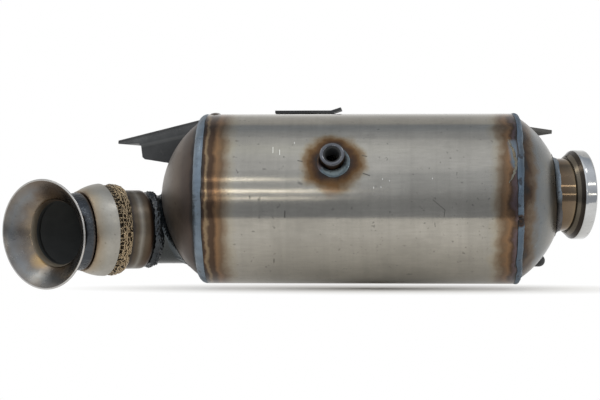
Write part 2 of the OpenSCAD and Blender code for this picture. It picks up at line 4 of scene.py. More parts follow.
import bpy
import numpy as np
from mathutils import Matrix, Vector


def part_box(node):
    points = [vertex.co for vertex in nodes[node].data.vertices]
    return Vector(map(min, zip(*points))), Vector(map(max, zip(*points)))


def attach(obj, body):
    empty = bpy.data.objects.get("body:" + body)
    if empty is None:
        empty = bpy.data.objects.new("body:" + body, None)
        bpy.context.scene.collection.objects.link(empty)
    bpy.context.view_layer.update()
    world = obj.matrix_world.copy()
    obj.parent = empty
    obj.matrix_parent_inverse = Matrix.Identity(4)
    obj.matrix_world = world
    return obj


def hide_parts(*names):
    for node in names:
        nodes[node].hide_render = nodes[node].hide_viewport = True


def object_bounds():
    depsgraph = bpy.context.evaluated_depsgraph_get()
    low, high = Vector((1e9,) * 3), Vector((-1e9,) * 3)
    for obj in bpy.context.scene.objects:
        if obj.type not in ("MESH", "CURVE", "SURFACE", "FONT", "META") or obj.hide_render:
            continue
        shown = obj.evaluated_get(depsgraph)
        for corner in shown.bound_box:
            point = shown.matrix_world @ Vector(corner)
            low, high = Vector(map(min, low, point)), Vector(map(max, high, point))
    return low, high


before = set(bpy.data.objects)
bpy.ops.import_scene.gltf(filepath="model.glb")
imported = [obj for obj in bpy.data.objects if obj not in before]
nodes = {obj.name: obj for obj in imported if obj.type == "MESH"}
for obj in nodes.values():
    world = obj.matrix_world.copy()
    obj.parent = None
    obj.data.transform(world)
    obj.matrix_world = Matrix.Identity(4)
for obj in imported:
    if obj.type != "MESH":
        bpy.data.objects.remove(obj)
cad_box = [list(c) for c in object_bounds()]
rng = np.random.default_rng(7)

# Sizes in mm about the middle of the shell, as the solids have them
ORIGIN = np.array([198.840, 9.5740, 3.7])
SHELL_R = 77.5
SHELL_END = 139.0
DOME_R = 88.0
DOME_C = 94.516
CROWN = DOME_C + DOME_R
TUBE_R = 31.5
TUBE_BEND = (44, 19)
BALL_REACH = 43.5
BELL_BEND = (36, 24.5)
BELL_BEND_Z = 24.6
SOCKET_END = 22.75
NECK_R = 33.0
BOSS_X = -23.5
BOSS_R = 11.0
BOSS_H = 15.0

# Where tubes leave the domes' crowns, in mm across and up, and how far pieces are turned, in degrees
STUB_AT = (8.7, -28.2)
STUB_TURN = 188
NECK_AT = (5.2, 3.7)
NECK_TURN = 15
SOCKET_LEAN = (-7, 3)
BOSS_TURN = 65

# Places of a darker brown patch on the upper side of the bell and of a painted golden highlight, in the
# frame of its mouth
BELL_TOP = (-40, 7, 20)
BELL_GOLD_HIGHLIGHT = (24, -19, 11)


def shift(x, y, z):
    m = np.eye(4)
    m[:3, 3] = (x, y, z)
    return m


def turn(axis, deg):
    a = math.radians(deg)
    c, s = math.cos(a), math.sin(a)
    m = np.eye(4)
    i, j = {"x": (1, 2), "y": (2, 0), "z": (0, 1)}[axis]
    m[i, i] = c
    m[j, j] = c
    m[i, j] = -s
    m[j, i] = s
    return m


def past_bend(r, deg):
    a = math.radians(deg)
    return shift(0, r * (1 - math.cos(a)), r * math.sin(a)) @ turn("x", -deg)


IN_DOME = shift(-DOME_C, 0, 0) @ turn("y", -90)
OUT_DOME = shift(DOME_C, 0, 0) @ turn("y", 90)
STUB = shift(-CROWN, *STUB_AT) @ turn("z", STUB_TURN) @ turn("y", 90)
BALL = STUB @ past_bend(*TUBE_BEND) @ shift(0, 0, BALL_REACH)
SOCKET = BALL @ turn("x", SOCKET_LEAN[0]) @ turn("y", SOCKET_LEAN[1])
MOUTH = SOCKET @ shift(0, 0, BELL_BEND_Z) @ past_bend(*BELL_BEND)
NECK = shift(CROWN, *NECK_AT) @ turn("z", NECK_TURN) @ turn("y", 90)
BOSS = shift(BOSS_X, 0, 0) @ turn("x", BOSS_TURN)


def place(m, pts):
    return np.asarray(pts, float) @ m[:3, :3].T + m[:3, 3]


def metres(p):
    return (np.asarray(p, float) - ORIGIN) / 1000


def on_shell(x, deg):
    """A point on the shell at x along it and deg up from the side that faces the camera."""
    a = math.radians(deg)
    return np.array([x, -SHELL_R * math.cos(a), SHELL_R * math.sin(a)])


# Node helpers

def add(tree, kind, **values):
    n = tree.nodes.new(kind)
    for key, value in values.items():
        setattr(n, key, value)
    return n


def link(tree, a, b):
    tree.links.new(a, b)


def noise(tree, scale, detail=4, rough=0.55, stretch=(1, 1, 1)):
    tc = add(tree, "ShaderNodeTexCoord")
    mp = add(tree, "ShaderNodeMapping")
    mp.inputs["Scale"].default_value = stretch
    link(tree, tc.outputs["Object"], mp.inputs["Vector"])
    n = add(tree, "ShaderNodeTexNoise")
    n.inputs["Scale"].default_value = scale
    n.inputs["Detail"].default_value = detail
    n.inputs["Roughness"].default_value = rough
    link(tree, mp.outputs["Vector"], n.inputs["Vector"])
    return n.outputs["Fac"]


def feed(tree, sock, value):
    """Sets a socket to a number or colour, or links another socket to it."""
    if isinstance(value, (int, float)):
        sock.default_value = value
    elif isinstance(value, tuple):
        sock.default_value = (*value, 1) if len(sock.default_value) == 4 else value
    else:
        link(tree, value, sock)


def math_node(tree, op, *values):
    n = add(tree, "ShaderNodeMath", operation=op)
    for sock, value in zip(n.inputs, values):
        feed(tree, sock, value)
    return n.outputs[0]


def vector_node(tree, op, *values, scale=None):
    n = add(tree, "ShaderNodeVectorMath", operation=op)
    for sock, value in zip(n.inputs, values):
        feed(tree, sock, value)
    if scale is not None:
        feed(tree, n.inputs["Scale"], scale)
    return n.outputs["Value"] if op in ("DISTANCE", "DOT_PRODUCT", "LENGTH") else n.outputs["Vector"]


def span(tree, value, low, high, to_low=0.0, to_high=1.0):
    n = add(tree, "ShaderNodeMapRange")
    for sock, v in zip(n.inputs, (value, low, high, to_low, to_high)):
        feed(tree, sock, v)
    return n.outputs[0]


def mix(tree, fac, a, b):
    n = add(tree, "ShaderNodeMix", data_type="RGBA")
    for sock, v in ((n.inputs[0], fac), (n.inputs[6], a), (n.inputs[7], b)):
        feed(tree, sock, v)
    return n.outputs[2]


def ramp(tree, value, stops):
    """stops are (position, colour, strength): returns the colour and the strength."""
    n = add(tree, "ShaderNodeValToRGB")
    els = n.color_ramp.elements
    while len(els) < len(stops):
        els.new(0.5)
    for el, (pos, col, alpha) in zip(els, stops):
        el.position = pos
        el.color = (*col, alpha)
    link(tree, value, n.inputs[0])
    return n.outputs[0], n.outputs[1]


def here(tree):
    return add(tree, "ShaderNodeTexCoord").outputs["Object"]


def around(p_mm):
    """Distance in metres from a point."""
    spot = tuple(float(v) for v in metres(p_mm))
    return lambda t: vector_node(t, "DISTANCE", here(t), spot)


def beyond(p_mm, axis):
    """Distance in metres past a point along an axis."""
    spot = tuple(float(v) for v in metres(p_mm))
    way = tuple(float(v) for v in axis)
    return lambda t: vector_node(t, "DOT_PRODUCT", vector_node(t, "SUBTRACT", here(t), spot), way)


def past(m, z_mm, sign=1):
    """Distance in metres along a local frame's axis from a level on it."""
    return beyond(place(m, (0, 0, z_mm)), m[:3, 2] * sign)


def near_line(a_mm, b_mm):
    """Distance in metres from a straight line between two points."""
    a = metres(a_mm)
    run = metres(b_mm) - a
    first = tuple(float(v) for v in a)
    step = tuple(float(v) for v in run)
    unit = tuple(float(v) for v in run / float(run @ run))

    def dist(t):
        k = vector_node(t, "DOT_PRODUCT", vector_node(t, "SUBTRACT", here(t), first), unit)
        foot = vector_node(t, "SCALE", step, scale=span(t, k, 0, 1))
        return vector_node(t, "DISTANCE", vector_node(t, "SUBTRACT", here(t), first), foot)
    return dist


def start(name, metallic=1.0):
    m = bpy.data.materials.new(name)
    m.use_nodes = True
    t = m.node_tree
    p = t.nodes["Principled BSDF"]
    p.inputs["Metallic"].default_value = metallic
    return m, t, p


def bump(tree, p, height_mm):
    n = add(tree, "ShaderNodeBump")
    n.inputs["Strength"].default_value = 1.0
    n.inputs["Distance"].default_value = 0.001
    link(tree, height_mm, n.inputs["Height"])
    link(tree, n.outputs[0], p.inputs["Normal"])


def scaled(colour, k):
    return tuple(min(1.0, c * k) for c in colour)


# Heat colours. GLINT and PALE_HIGHLIGHT are painted highlights, HONEY paints a golden highlight, and
# NIGHT also serves as painted shade

HONEY = (0.55, 0.36, 0.15)
GOLD = (0.30, 0.20, 0.095)
STRAW = (0.34, 0.295, 0.21)
ORANGE = (0.20, 0.105, 0.045)
BROWN = (0.115, 0.073, 0.042)
PURPLE = (0.10, 0.07, 0.075)
BLUE = (0.13, 0.165, 0.20)
NIGHT = (0.035, 0.030, 0.028)
PALE_HIGHLIGHT = (0.55, 0.52, 0.46)
TEAL = (0.15, 0.20, 0.235)
TAN = (0.205, 0.138, 0.074)
RUST = (0.126, 0.068, 0.028)
UMBER = (0.066, 0.038, 0.023)
SMOKE = (0.078, 0.056, 0.045)
GLINT = (0.80, 0.78, 0.72)

# How much of a mark's width is full, and how strong it is there
MARK_CORE = 0.4
MARK_STRENGTH = 0.85


def marked(tree, col, marks):
    """Draws marks, which are (distance, width, colour), over a colour."""
    for dist_of, width, colour in marks:
        strength = span(tree, dist_of(tree), width * MARK_CORE, width, MARK_STRENGTH, 0)
        col = mix(tree, strength, col, colour)
    return col


def tinted(tree, col, dist, reach, stops):
    """Lays the colours of a ramp over a colour, from a distance of nothing to one of reach."""
    tint, strength = ramp(tree, span(tree, dist, 0, reach), stops)
    return mix(tree, strength, col, tint)


def steel(name, base, rough, tints=(), grain=(1, 1, 1), smudge=0.35, dents=0.15, spread=0.10,
          grit=0.02, wander=0.16, marks=(), streaks=0.0, metallic=1.0):
    """Rolled stainless. tints are (distance, reach, stops), with a wander of their own if given."""
    m, t, p = start(name, metallic)
    broad = noise(t, scale=14, detail=5)
    col = mix(t, span(t, broad, 0.35, 0.68), scaled(base, 1.10), scaled(base, 0.86))
    cloud = noise(t, scale=34, detail=6, rough=0.65)
    col = mix(t, span(t, cloud, 0.52, 0.72, 0, smudge), col, scaled(base, 0.72))
    fine = noise(t, scale=420, detail=3, rough=0.6, stretch=grain)
    col = mix(t, span(t, fine, 0.35, 0.72, 0, 0.25), col, scaled(base, 0.66))
    if streaks:
        upright = noise(t, scale=170, detail=4, rough=0.6, stretch=(1, 0.05, 0.05))
        col = mix(t, span(t, upright, 0.45, 0.75, 0, streaks), col, scaled(base, 0.6))
    specks = noise(t, scale=260, detail=2, rough=0.5)
    col = mix(t, span(t, specks, 0.67, 0.73, 0, 0.6), col, scaled(base, 0.42))
    edge = noise(t, scale=60, detail=4)
    for dist_of, reach, stops, *own in tints:
        sway = (own[0] if own else wander) * reach
        dist = math_node(t, "ADD", dist_of(t), span(t, edge, 0.2, 0.8, -sway, sway))
        col = tinted(t, col, dist, reach, stops)
    link(t, marked(t, col, marks), p.inputs["Base Color"])
    worn = noise(t, scale=46, detail=5, rough=0.6, stretch=grain)
    link(t, span(t, worn, 0.3, 0.7, rough - spread / 2, rough + spread / 2), p.inputs["Roughness"])
    swell = math_node(t, "MULTIPLY", noise(t, scale=9, detail=2, rough=0.4), dents)
    bump(t, p, math_node(t, "ADD", swell, math_node(t, "MULTIPLY", fine, grit)))
    return m


def weld_metal(name, base, warm, rough, grit=0.5, relief=0.08, tints=(), scale=500):
    """Weld with warm patches and dark pits; scale is how fine its relief is."""
    m, t, p = start(name)
    col = mix(t, span(t, noise(t, scale=40, detail=4), 0.40, 0.66), base, scaled(base, 0.70))
    col = mix(t, span(t, noise(t, scale=22, detail=3), 0.55, 0.75, 0, 0.6), col, warm)
    for dist_of, reach, stops in tints:
        col = tinted(t, col, dist_of(t), reach, stops)
    col = mix(t, span(t, noise(t, scale=300, detail=3), 0.58, 0.78, 0, grit), col, NIGHT)
    col = mix(t, span(t, noise(t, scale=130, detail=2), 0.66, 0.70, 0, grit), col, NIGHT)
    link(t, col, p.inputs["Base Color"])
    worn = noise(t, scale=90, detail=4)
    link(t, span(t, worn, 0.3, 0.7, rough - 0.1, rough + 0.12), p.inputs["Roughness"])
    bump(t, p, math_node(t, "MULTIPLY", noise(t, scale=scale, detail=4, rough=0.65), relief))
    return m


def coated(name, base, edge=(0.12, 0.115, 0.105), marks=()):
    """Dark coated sheet with dust and worn patches."""
    m, t, p = start(name, metallic=0.35)
    col = mix(t, span(t, noise(t, scale=26, detail=5), 0.42, 0.70), base, scaled(base, 1.9))
    bare = noise(t, scale=120, detail=6, rough=0.7)
    col = mix(t, span(t, bare, 0.60, 0.74, 0, 0.75), col, edge)
    link(t, marked(t, col, marks), p.inputs["Base Color"])
    worn = noise(t, scale=70, detail=4)
    link(t, span(t, worn, 0.3, 0.7, 0.42, 0.66), p.inputs["Roughness"])
    bump(t, p, math_node(t, "MULTIPLY", noise(t, scale=700, detail=3, rough=0.6), 0.06))
    return m


def ceramic(name, base):
    """Dull, slightly blotched ceramic or fibre."""
    m, t, p = start(name, metallic=0.0)
    col = mix(t, span(t, noise(t, scale=30, detail=5), 0.35, 0.7), base, scaled(base, 0.66))
    link(t, col, p.inputs["Base Color"])
    p.inputs["Roughness"].default_value = 0.92
    bump(t, p, math_node(t, "MULTIPLY", noise(t, scale=900, detail=3), 0.05))
    return m


def soot_black(name, dark, pale):
    """Sooty metal, from dark to pale in patches."""
    m, t, p = start(name, metallic=0.2)
    link(t, mix(t, noise(t, scale=60, detail=5), dark, pale), p.inputs["Base Color"])
    p.inputs["Roughness"].default_value = 0.8
    return m


# Mesh helpers

def build(name, pts_mm, faces, materials, body, stands_for=(), slot=None, flip=False, pick=None,
          sharp=None):
    """pick gives each face's place in a list of materials; edges steeper than sharp stay crisp."""
    if flip:
        faces = [f[::-1] for f in faces]
    me = bpy.data.meshes.new(name)
    me.from_pydata([tuple(v) for v in metres(pts_mm).reshape(-1, 3)], [], faces)
    for material in materials if isinstance(materials, list) else [materials]:
        me.materials.append(material)
    if pick is not None:
        me.polygons.foreach_set("material_index", np.asarray(pick, np.int32))
    me.update()
    me.shade_smooth()
    if sharp:
        me.set_sharp_from_angle(angle=math.radians(sharp))
    ob = bpy.data.objects.new(name, me)
    bpy.context.scene.collection.objects.link(ob)
    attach(ob, body)
    if stands_for:
        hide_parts(*stands_for)
    return ob


def grid_faces(nu, nv, loop_u, loop_v, first=0):
    """Faces of a grid of nu by nv points from number first on, closed where a loop is asked for."""
    out = []
    for i in range(nu if loop_u else nu - 1):
        for j in range(nv if loop_v else nv - 1):
            a = first + i * nv + j
            b = first + ((i + 1) % nu) * nv + j
            c = first + ((i + 1) % nu) * nv + (j + 1) % nv
            d = first + i * nv + (j + 1) % nv
            out.append((a, b, c, d))
    return out


def lathe(name, profile, m, materials, body, segs=144, finish=None, wobble=None, **kw):
    """Revolves a closed profile of (r, z) about the frame's z; finish gives each step's material."""
    prof = np.array(profile, float)
    a = np.linspace(0, 2 * math.pi, segs, endpoint=False)[:, None]
    r = prof[None, :, 0] + 0 * a
    z = prof[None, :, 1] + 0 * a
    if wobble:
        dr, dz = wobble(a, r)
        r = r + dr
        z = z + dz
    pts = place(m, np.stack([r * np.cos(a), r * np.sin(a), z], -1))
    pick = None if finish is None else list(finish) * segs
    return build(name, pts, grid_faces(segs, len(prof), True, True), materials, body, pick=pick, **kw)


def arc(cx, cz, r, a0, a1, n):
    """n places on a circle, from a0 to a1 degrees."""
    turns = np.radians(np.linspace(a0, a1, n))
    return [(cx + r * math.cos(a), cz + r * math.sin(a)) for a in turns]


def wave(n, step, closed=True):
    """Random values at n places in a row, which change over about step places."""
    k = max(4, n // step)
    knots = rng.normal(0, 1, k + 1)
    if closed:
        knots[-1] = knots[0]
    x = np.arange(n) * k / (n if closed else n - 1)
    i = np.minimum(np.floor(x).astype(int), k - 1)
    f = x - i
    f = f * f * (3 - 2 * f)
    return knots[i] * (1 - f) + knots[i + 1] * f


# Points along one ripple of a weld, how far ripples drift, and how much of its lumps is fine
RIPPLE_STEPS = 7
DRIFT = 0.35
ROUGH_SHARE = 0.3


def bead(name, surface, length, material, node=None, body="can", pitch=2.4, depth=0.2, lump=0.12,
         crown=2.0, dip=0.3, across=15, closed=True, stops=(), skew=0.9, edge=None, **kw):
    """A weld bead: surface(t, u, h) gives places at t along, u across (-1 to 1) and h above it.

    stops are (place along, width, height) of lumps and gaps; edge is the toes' material.
    """
    n = int(length / pitch * RIPPLE_STEPS)
    ts = np.arange(n) / (n if closed else n - 1)
    t, u = np.meshgrid(ts, np.linspace(-1, 1, across), indexing="ij")
    drift = DRIFT * wave(n, 30, closed)[:, None]
    saw = (t * round(length / pitch) + skew * u * u + drift) % 1
    top = 1 - np.abs(u) ** (2 * crown)
    rise = depth * (saw ** 0.6 - 0.5) + lump * wave(n, 9, closed)[:, None]
    h = top * (rise + ROUGH_SHARE * lump * rng.normal(0, 1, t.shape)) - dip * np.abs(u) ** 8
    for at, width, high in stops:
        gap = np.abs((t - at + 0.5) % 1 - 0.5) * length
        h = h + high * top * np.exp(-(gap / width) ** 2)
    faces = grid_faces(n, across, closed, False)
    if edge:
        kw["pick"] = ([1] + [0] * (across - 3) + [1]) * (len(faces) // (across - 1))
        material = [material, edge]
    stands_for = (node,) if node else ()
    return build(name, surface(t, u, h), faces, material, body, stands_for, slot="weld", **kw)


# Materials

STEEL = (0.365, 0.344, 0.300)
TICK_W = 0.0006
boss_foot = place(BOSS, (0, 0, SHELL_R))
dark_ticks = [
    ((-96.0, 1.7), (-95.7, 0.2)), ((-65.0, -8.0), (-65.2, -12.3)), ((-75.9, -43.6), (-76.2, -47.0)),
    ((-54.0, 25.6), (-50.2, 25.0)), ((2.4, 29.4), (6.4, 28.6)), ((3.4, 16.6), (9.0, 15.2))]
# The bright ticks are painted glints; the dark ticks and the hooked pair are scratches in the steel
painted_glint_ticks = [
    ((-76.4, 36.1), (-76.2, 31.5)), ((-57.6, 40.2), (-57.5, 38.9)), ((-70.4, 33.8), (-70.2, 29.9)),
    ((20.3, 13.2), (20.4, 12.4)), ((12.6, 7.6), (12.7, 6.6)), ((19.0, 7.9), (19.1, 7.0)),
    ((26.4, 12.0), (26.5, 11.4)), ((64.0, 13.5), (63.9, 12.8))]
hook_ticks = [((64.4, -0.8), (74.8, -7.3)), ((74.8, -7.3), (74.0, -11.9))]
shell_marks_and_glints = []
for ticks, width, colour in (
        (dark_ticks, TICK_W, scaled(STEEL, 0.2)),
        (painted_glint_ticks, TICK_W * 0.6, GLINT),
        (hook_ticks, TICK_W * 0.8, scaled(STEEL, 0.45))):
    shell_marks_and_glints += [(near_line(on_shell(*a), on_shell(*b)), width, colour) for a, b in ticks]

# Each seam tint starts with a near-black line at the bead's toe, painted shade in the crease, and goes on
# in heat colours
inlet_heat_and_toe_shade = (beyond((-SHELL_END, 0, 0), (1, 0, 0)), 0.031, [
    (0.0, NIGHT, 0.97), (0.06, UMBER, 0.97), (0.10, TAN, 0.9), (0.13, TAN, 0.88), (0.19, UMBER, 0.95),
    (0.31, UMBER, 0.97), (0.42, ORANGE, 0.9), (0.55, RUST, 0.85), (0.70, TAN, 0.6), (0.85, STRAW, 0.35),
    (1.0, STRAW, 0.0)], 0.10)
outlet_heat_and_toe_shade = (beyond((SHELL_END, 0, 0), (-1, 0, 0)), 0.026, [
    (0.0, NIGHT, 0.95), (0.10, PURPLE, 0.95), (0.20, UMBER, 0.95), (0.34, ORANGE, 0.9),
    (0.50, RUST, 0.85), (0.68, TAN, 0.65), (0.84, STRAW, 0.4), (1.0, STRAW, 0.0)], 0.18)
spill_heat = (near_line(on_shell(133.5, 39), on_shell(137, 22)), 0.0055, [
    (0.0, TEAL, 0.8), (0.5, TEAL, 0.65), (1.0, TEAL, 0.0)])
boss_heat = (around(boss_foot), 0.0325, [
    (0.0, NIGHT, 1.0), (0.46, NIGHT, 1.0), (0.58, UMBER, 1.0), (0.70, RUST, 0.97), (0.82, TAN, 0.8),
    (1.0, STRAW, 0.0)], 0.17)
boss_run = (around(place(BOSS, (-1, -25, SHELL_R - 3))), 0.011, [
    (0.0, ORANGE, 0.6), (0.5, ORANGE, 0.4), (1.0, TAN, 0.0)])
shell_mat = steel("shell_steel", STEEL, rough=0.15, grain=(0.16, 1, 1), smudge=0.42, dents=0.35,
                  marks=shell_marks_and_glints, wander=0.30, streaks=0.22,
                  tints=[inlet_heat_and_toe_shade, outlet_heat_and_toe_shade, spill_heat, boss_heat, boss_run])

# On the domes too the tints start with a near-black line at the toe, painted shade in the crease, before
# the heat colours
in_dome_heat_and_toe_shade = (beyond((-SHELL_END - 7.5, 0, 0), (-1, 0, 0)), 0.027, [
    (0.0, NIGHT, 0.98), (0.08, NIGHT, 0.92), (0.15, SMOKE, 0.9), (0.40, SMOKE, 0.75), (0.70, BROWN, 0.4),
    (1.0, BROWN, 0.0)])
out_dome_heat_and_toe_shade = (beyond((SHELL_END + 5, 0, 0), (1, 0, 0)), 0.034, [
    (0.0, NIGHT, 0.95), (0.10, UMBER, 0.9), (0.24, BROWN, 0.65), (0.40, BLUE, 0.5), (0.62, BLUE, 0.3),
    (1.0, STRAW, 0.2)])
in_dome_mat = steel("inlet_dome_steel", (0.225, 0.202, 0.180), rough=0.47, smudge=0.6, wander=0.05,
                    tints=[in_dome_heat_and_toe_shade])
out_dome_mat = steel("outlet_dome_steel", (0.215, 0.200, 0.170), rough=0.29, smudge=0.45,
                     tints=[out_dome_heat_and_toe_shade])

tube_mat = steel("inlet_tube_steel", (0.066, 0.070, 0.069), rough=0.26, smudge=0.9, dents=0.9, spread=0.2)
# Along the ball from the tube weld to the mesh: dark brown heat tint by the weld, a pale band that is a
# painted highlight, and near-black by the mesh that is painted shade
ball_heat_shade_and_highlight = (past(BALL, -39), 0.024, [
    (0.0, NIGHT, 0.9), (0.16, UMBER, 0.9), (0.40, BROWN, 0.3), (0.55, PALE_HIGHLIGHT, 0.32), (0.70, BROWN, 0.2),
    (0.86, NIGHT, 0.75), (1.0, NIGHT, 0.8)])
ball_mat = steel("ball_steel", (0.118, 0.102, 0.080), rough=0.36, smudge=0.6, wander=0.05,
                 tints=[ball_heat_shade_and_highlight])
socket_heat = (past(SOCKET, SOCKET_END, -1), 0.012, [
    (0.0, BROWN, 0.95), (0.2, GOLD, 0.5), (1.0, STRAW, 0.0)])
socket_mat = steel("socket_steel", (0.38, 0.36, 0.315), rough=0.40, smudge=0.55, dents=0.6, spread=0.16,
                   tints=[socket_heat])

bell_heat = (past(MOUTH, 5), 0.028, [
    (0.0, STRAW, 0.8), (0.2, GOLD, 0.5), (0.42, BROWN, 0.4), (0.65, BLUE, 0.3), (0.85, BROWN, 0.3),
    (1.0, STRAW, 0.0)])
bell_dark = (around(place(MOUTH, BELL_TOP)), 0.030, [
    (0.0, BROWN, 0.75), (0.5, BROWN, 0.55), (1.0, BROWN, 0.0)])
# A honey-coloured patch where a highlight falls inside the bell: painted highlight
bell_gold_highlight = (around(place(MOUTH, BELL_GOLD_HIGHLIGHT)), 0.011, [
    (0.0, HONEY, 0.8), (0.45, HONEY, 0.45), (1.0, HONEY, 0.0)])
bell_mat = steel("bell_steel", (0.235, 0.223, 0.205), rough=0.27, smudge=0.95, dents=0.9, spread=0.2,
                 grit=0.05, tints=[bell_heat, bell_dark, bell_gold_highlight])
lip_dark = (around(place(MOUTH, BELL_TOP)), 0.048, [
    (0.0, UMBER, 0.8), (0.6, UMBER, 0.7), (1.0, BROWN, 0.0)])
lip_mat = steel("bell_lip", (0.30, 0.255, 0.19), rough=0.5, smudge=0.7, tints=[lip_dark], metallic=0.5)
edge_mat = steel("bare_edge", (0.52, 0.50, 0.47), rough=0.22, smudge=0.2, dents=0.02)

neck_heat = (past(NECK, -10), 0.024, [
    (0.0, BROWN, 0.8), (0.35, BROWN, 0.6), (0.7, GOLD, 0.5), (1.0, STRAW, 0.0)])
neck_mat = steel("neck_steel", (0.255, 0.210, 0.152), rough=0.13, tints=[neck_heat])
flange_mat = steel("flange_steel", (0.60, 0.60, 0.59), rough=0.10, smudge=0.2, dents=0.02)
# Darker copies of the flange steel for its conical back: painted shade, mid-brown near the neck and
# near-black towards the rim
root_half_shade_mat = steel("flange_root_half_shade", (0.15, 0.128, 0.098), rough=0.24, dents=0.02)
cone_shade_mat = steel("flange_back_shade", (0.052, 0.043, 0.035), rough=0.22, dents=0.02)
# The boss's side is near-black up to just below its top: painted shade
boss_side_shade = (past(BOSS, SHELL_R + 2), 0.0122, [(0.0, NIGHT, 0.9), (0.9, NIGHT, 0.85), (1.0, NIGHT, 0.0)])
boss_mat = steel("boss_steel", (0.125, 0.128, 0.138), rough=0.15, smudge=0.8, dents=0.05, wander=0.02,
                 tints=[boss_side_shade])
inner_mat = steel("inner_steel", (0.25, 0.225, 0.195), rough=0.40)

weld_mat = weld_metal("weld_blue", (0.205, 0.25, 0.295), (0.18, 0.19, 0.20), rough=0.46, grit=0.45)
# The notch in the outlet bead is darkened: painted shade in the hollow, with brown oxide bits
seam_notch_shade = (around((141, -75.5, -19.5)), 0.0066, [
    (0.0, UMBER, 1.0), (0.45, NIGHT, 0.97), (0.72, UMBER, 0.95), (1.0, NIGHT, 0.0)])
seam_mat = weld_metal("weld_outlet", (0.135, 0.178, 0.225), (0.115, 0.125, 0.135), rough=0.46, grit=0.6,
                      tints=[seam_notch_shade])
tube_weld = weld_metal("weld_tube", (0.075, 0.085, 0.090), (0.13, 0.145, 0.155), rough=0.20, grit=0.6,
                       relief=0.5, scale=150)
ball_weld = weld_metal("weld_dark", (0.055, 0.060, 0.064), (0.13, 0.12, 0.11), rough=0.18, grit=0.7,
                       relief=0.6, scale=130)
# Near-black toes of the seam beads: painted shade in the crease where bead meets sheet
toe_crease_shade = weld_metal("weld_toe_shade", (0.030, 0.026, 0.024), (0.06, 0.042, 0.03), rough=0.35, grit=0.4)
# The neck weld turns darker and browner towards its underside
neck_weld_low_dark = (beyond(place(NECK, (2, 0, 0)), NECK[:3, 0]), 0.030, [
    (0.0, NIGHT, 0.0), (0.2, NIGHT, 0.75), (0.6, UMBER, 0.6), (1.0, UMBER, 0.6)])
neck_weld = weld_metal("weld_neck", (0.20, 0.235, 0.265), (0.17, 0.15, 0.12), rough=0.42, grit=0.4,
                       tints=[neck_weld_low_dark])
collar_heat = (past(SOCKET, SOCKET_END - 0.5), 0.004, [
    (0.0, BROWN, 0.9), (0.5, BROWN, 0.4), (1.0, BROWN, 0.0)])
collar_mat = weld_metal("collar_weld", (0.062, 0.068, 0.075), (0.13, 0.12, 0.105), rough=0.27, grit=0.6,
                        relief=0.3, scale=140, tints=[collar_heat])
boss_weld_heat = (beyond(place(BOSS, (-3, -3, SHELL_R)), BOSS[:3, :3] @ (-0.80, 0.60, 0)), 0.009, [
    (0.0, BLUE, 0.0), (0.45, PURPLE, 0.75), (1.0, UMBER, 0.95)])
boss_weld = weld_metal("boss_weld", (0.165, 0.205, 0.222), (0.12, 0.13, 0.135), rough=0.36, grit=0.45,
                       relief=0.2, scale=260, tints=[boss_weld_heat])
lump_mat = weld_metal("weld_lump", (0.115, 0.085, 0.062), (0.15, 0.10, 0.06), rough=0.34, grit=0.4)
spill_mat = weld_metal("weld_spill", (0.21, 0.20, 0.165), (0.17, 0.13, 0.08), rough=0.36, grit=0.5)
wire_mat = weld_metal("wire", (0.46, 0.355, 0.225), (0.085, 0.058, 0.034), rough=0.17, grit=0.8,
                      relief=0.04)
# The ring under the knitted wire is near-black brown: painted shade in the depth of the knit
mesh_depth_shade = weld_metal("mesh_depth_shade", (0.05, 0.038, 0.025), (0.03, 0.022, 0.015), rough=0.6, grit=0.8)

# Painted light on the inlet bracket: a near-black line along its top edge is painted shade, a lighter
# line along the bend and a pale stroke at the tip are painted highlights
fold_light_and_shade = [
    (near_line((-228, 38, 53.4), (-145, 38, 74.1)), 0.0044, (0.006, 0.006, 0.006)),
    (near_line((-205.3, 30, 49.6), (-160, 30, 59.8)), 0.0022, (0.105, 0.105, 0.10)),
    (near_line((-228, 30, 51.4), (-209, 30, 50.7)), 0.0018, (0.30, 0.29, 0.27))]
coat = coated("bracket_coat", (0.040, 0.040, 0.040))
arm_coat_fold_light = coated("inlet_bracket_coat_fold_light", (0.044, 0.044, 0.043), marks=fold_light_and_shade)
tab_coat = coated("bracket_worn", (0.085, 0.080, 0.070), (0.20, 0.18, 0.15))
soot = soot_black("soot", (0.022, 0.023, 0.022), (0.050, 0.050, 0.048))
throat_soot = soot_black("throat_soot", (0.050, 0.053, 0.051), (0.105, 0.108, 0.104))
mat_fibre = ceramic("mat_fibre", (0.72, 0.70, 0.66))
catalyst_mat = ceramic("catalyst_ceramic", (0.34, 0.28, 0.20))
filter_mat = ceramic("filter_ceramic", (0.17, 0.162, 0.158))
plug_mat = ceramic("plug_ceramic", (0.30, 0.29, 0.28))

dress = {
    "shell": shell_mat, "inlet_dome": in_dome_mat, "outlet_dome": out_dome_mat, "inlet_tube": tube_mat,
    "decoupler_ball": ball_mat, "decoupler_socket": socket_mat, "inlet_elbow": throat_soot,
    "outlet_neck": neck_mat, "decoupler_mesh": mesh_depth_shade, "shell_seam_weld": weld_mat,
    "hanger_weld": ball_weld, "inlet_bracket": arm_coat_fold_light, "top_bracket": coat, "outlet_bracket": tab_coat,
    "hanger_pin": coat, "catalyst_brick": catalyst_mat, "filter_brick": filter_mat,
    "catalyst_mat": mat_fibre, "filter_mat": mat_fibre, "catalyst_front_ring": inner_mat,
    "catalyst_rear_ring": inner_mat, "filter_front_ring": inner_mat, "filter_rear_ring": inner_mat,
    "inlet_bell": bell_mat, "bell_weld": collar_mat, "outlet_flange": flange_mat,
    "sensor_boss": boss_mat, "sensor_boss_weld": boss_weld, "inlet_seam_weld": weld_mat,
    "outlet_seam_weld": weld_mat, "inlet_tube_weld": tube_weld, "outlet_neck_weld": neck_weld,
    "decoupler_ball_weld": ball_weld,
}
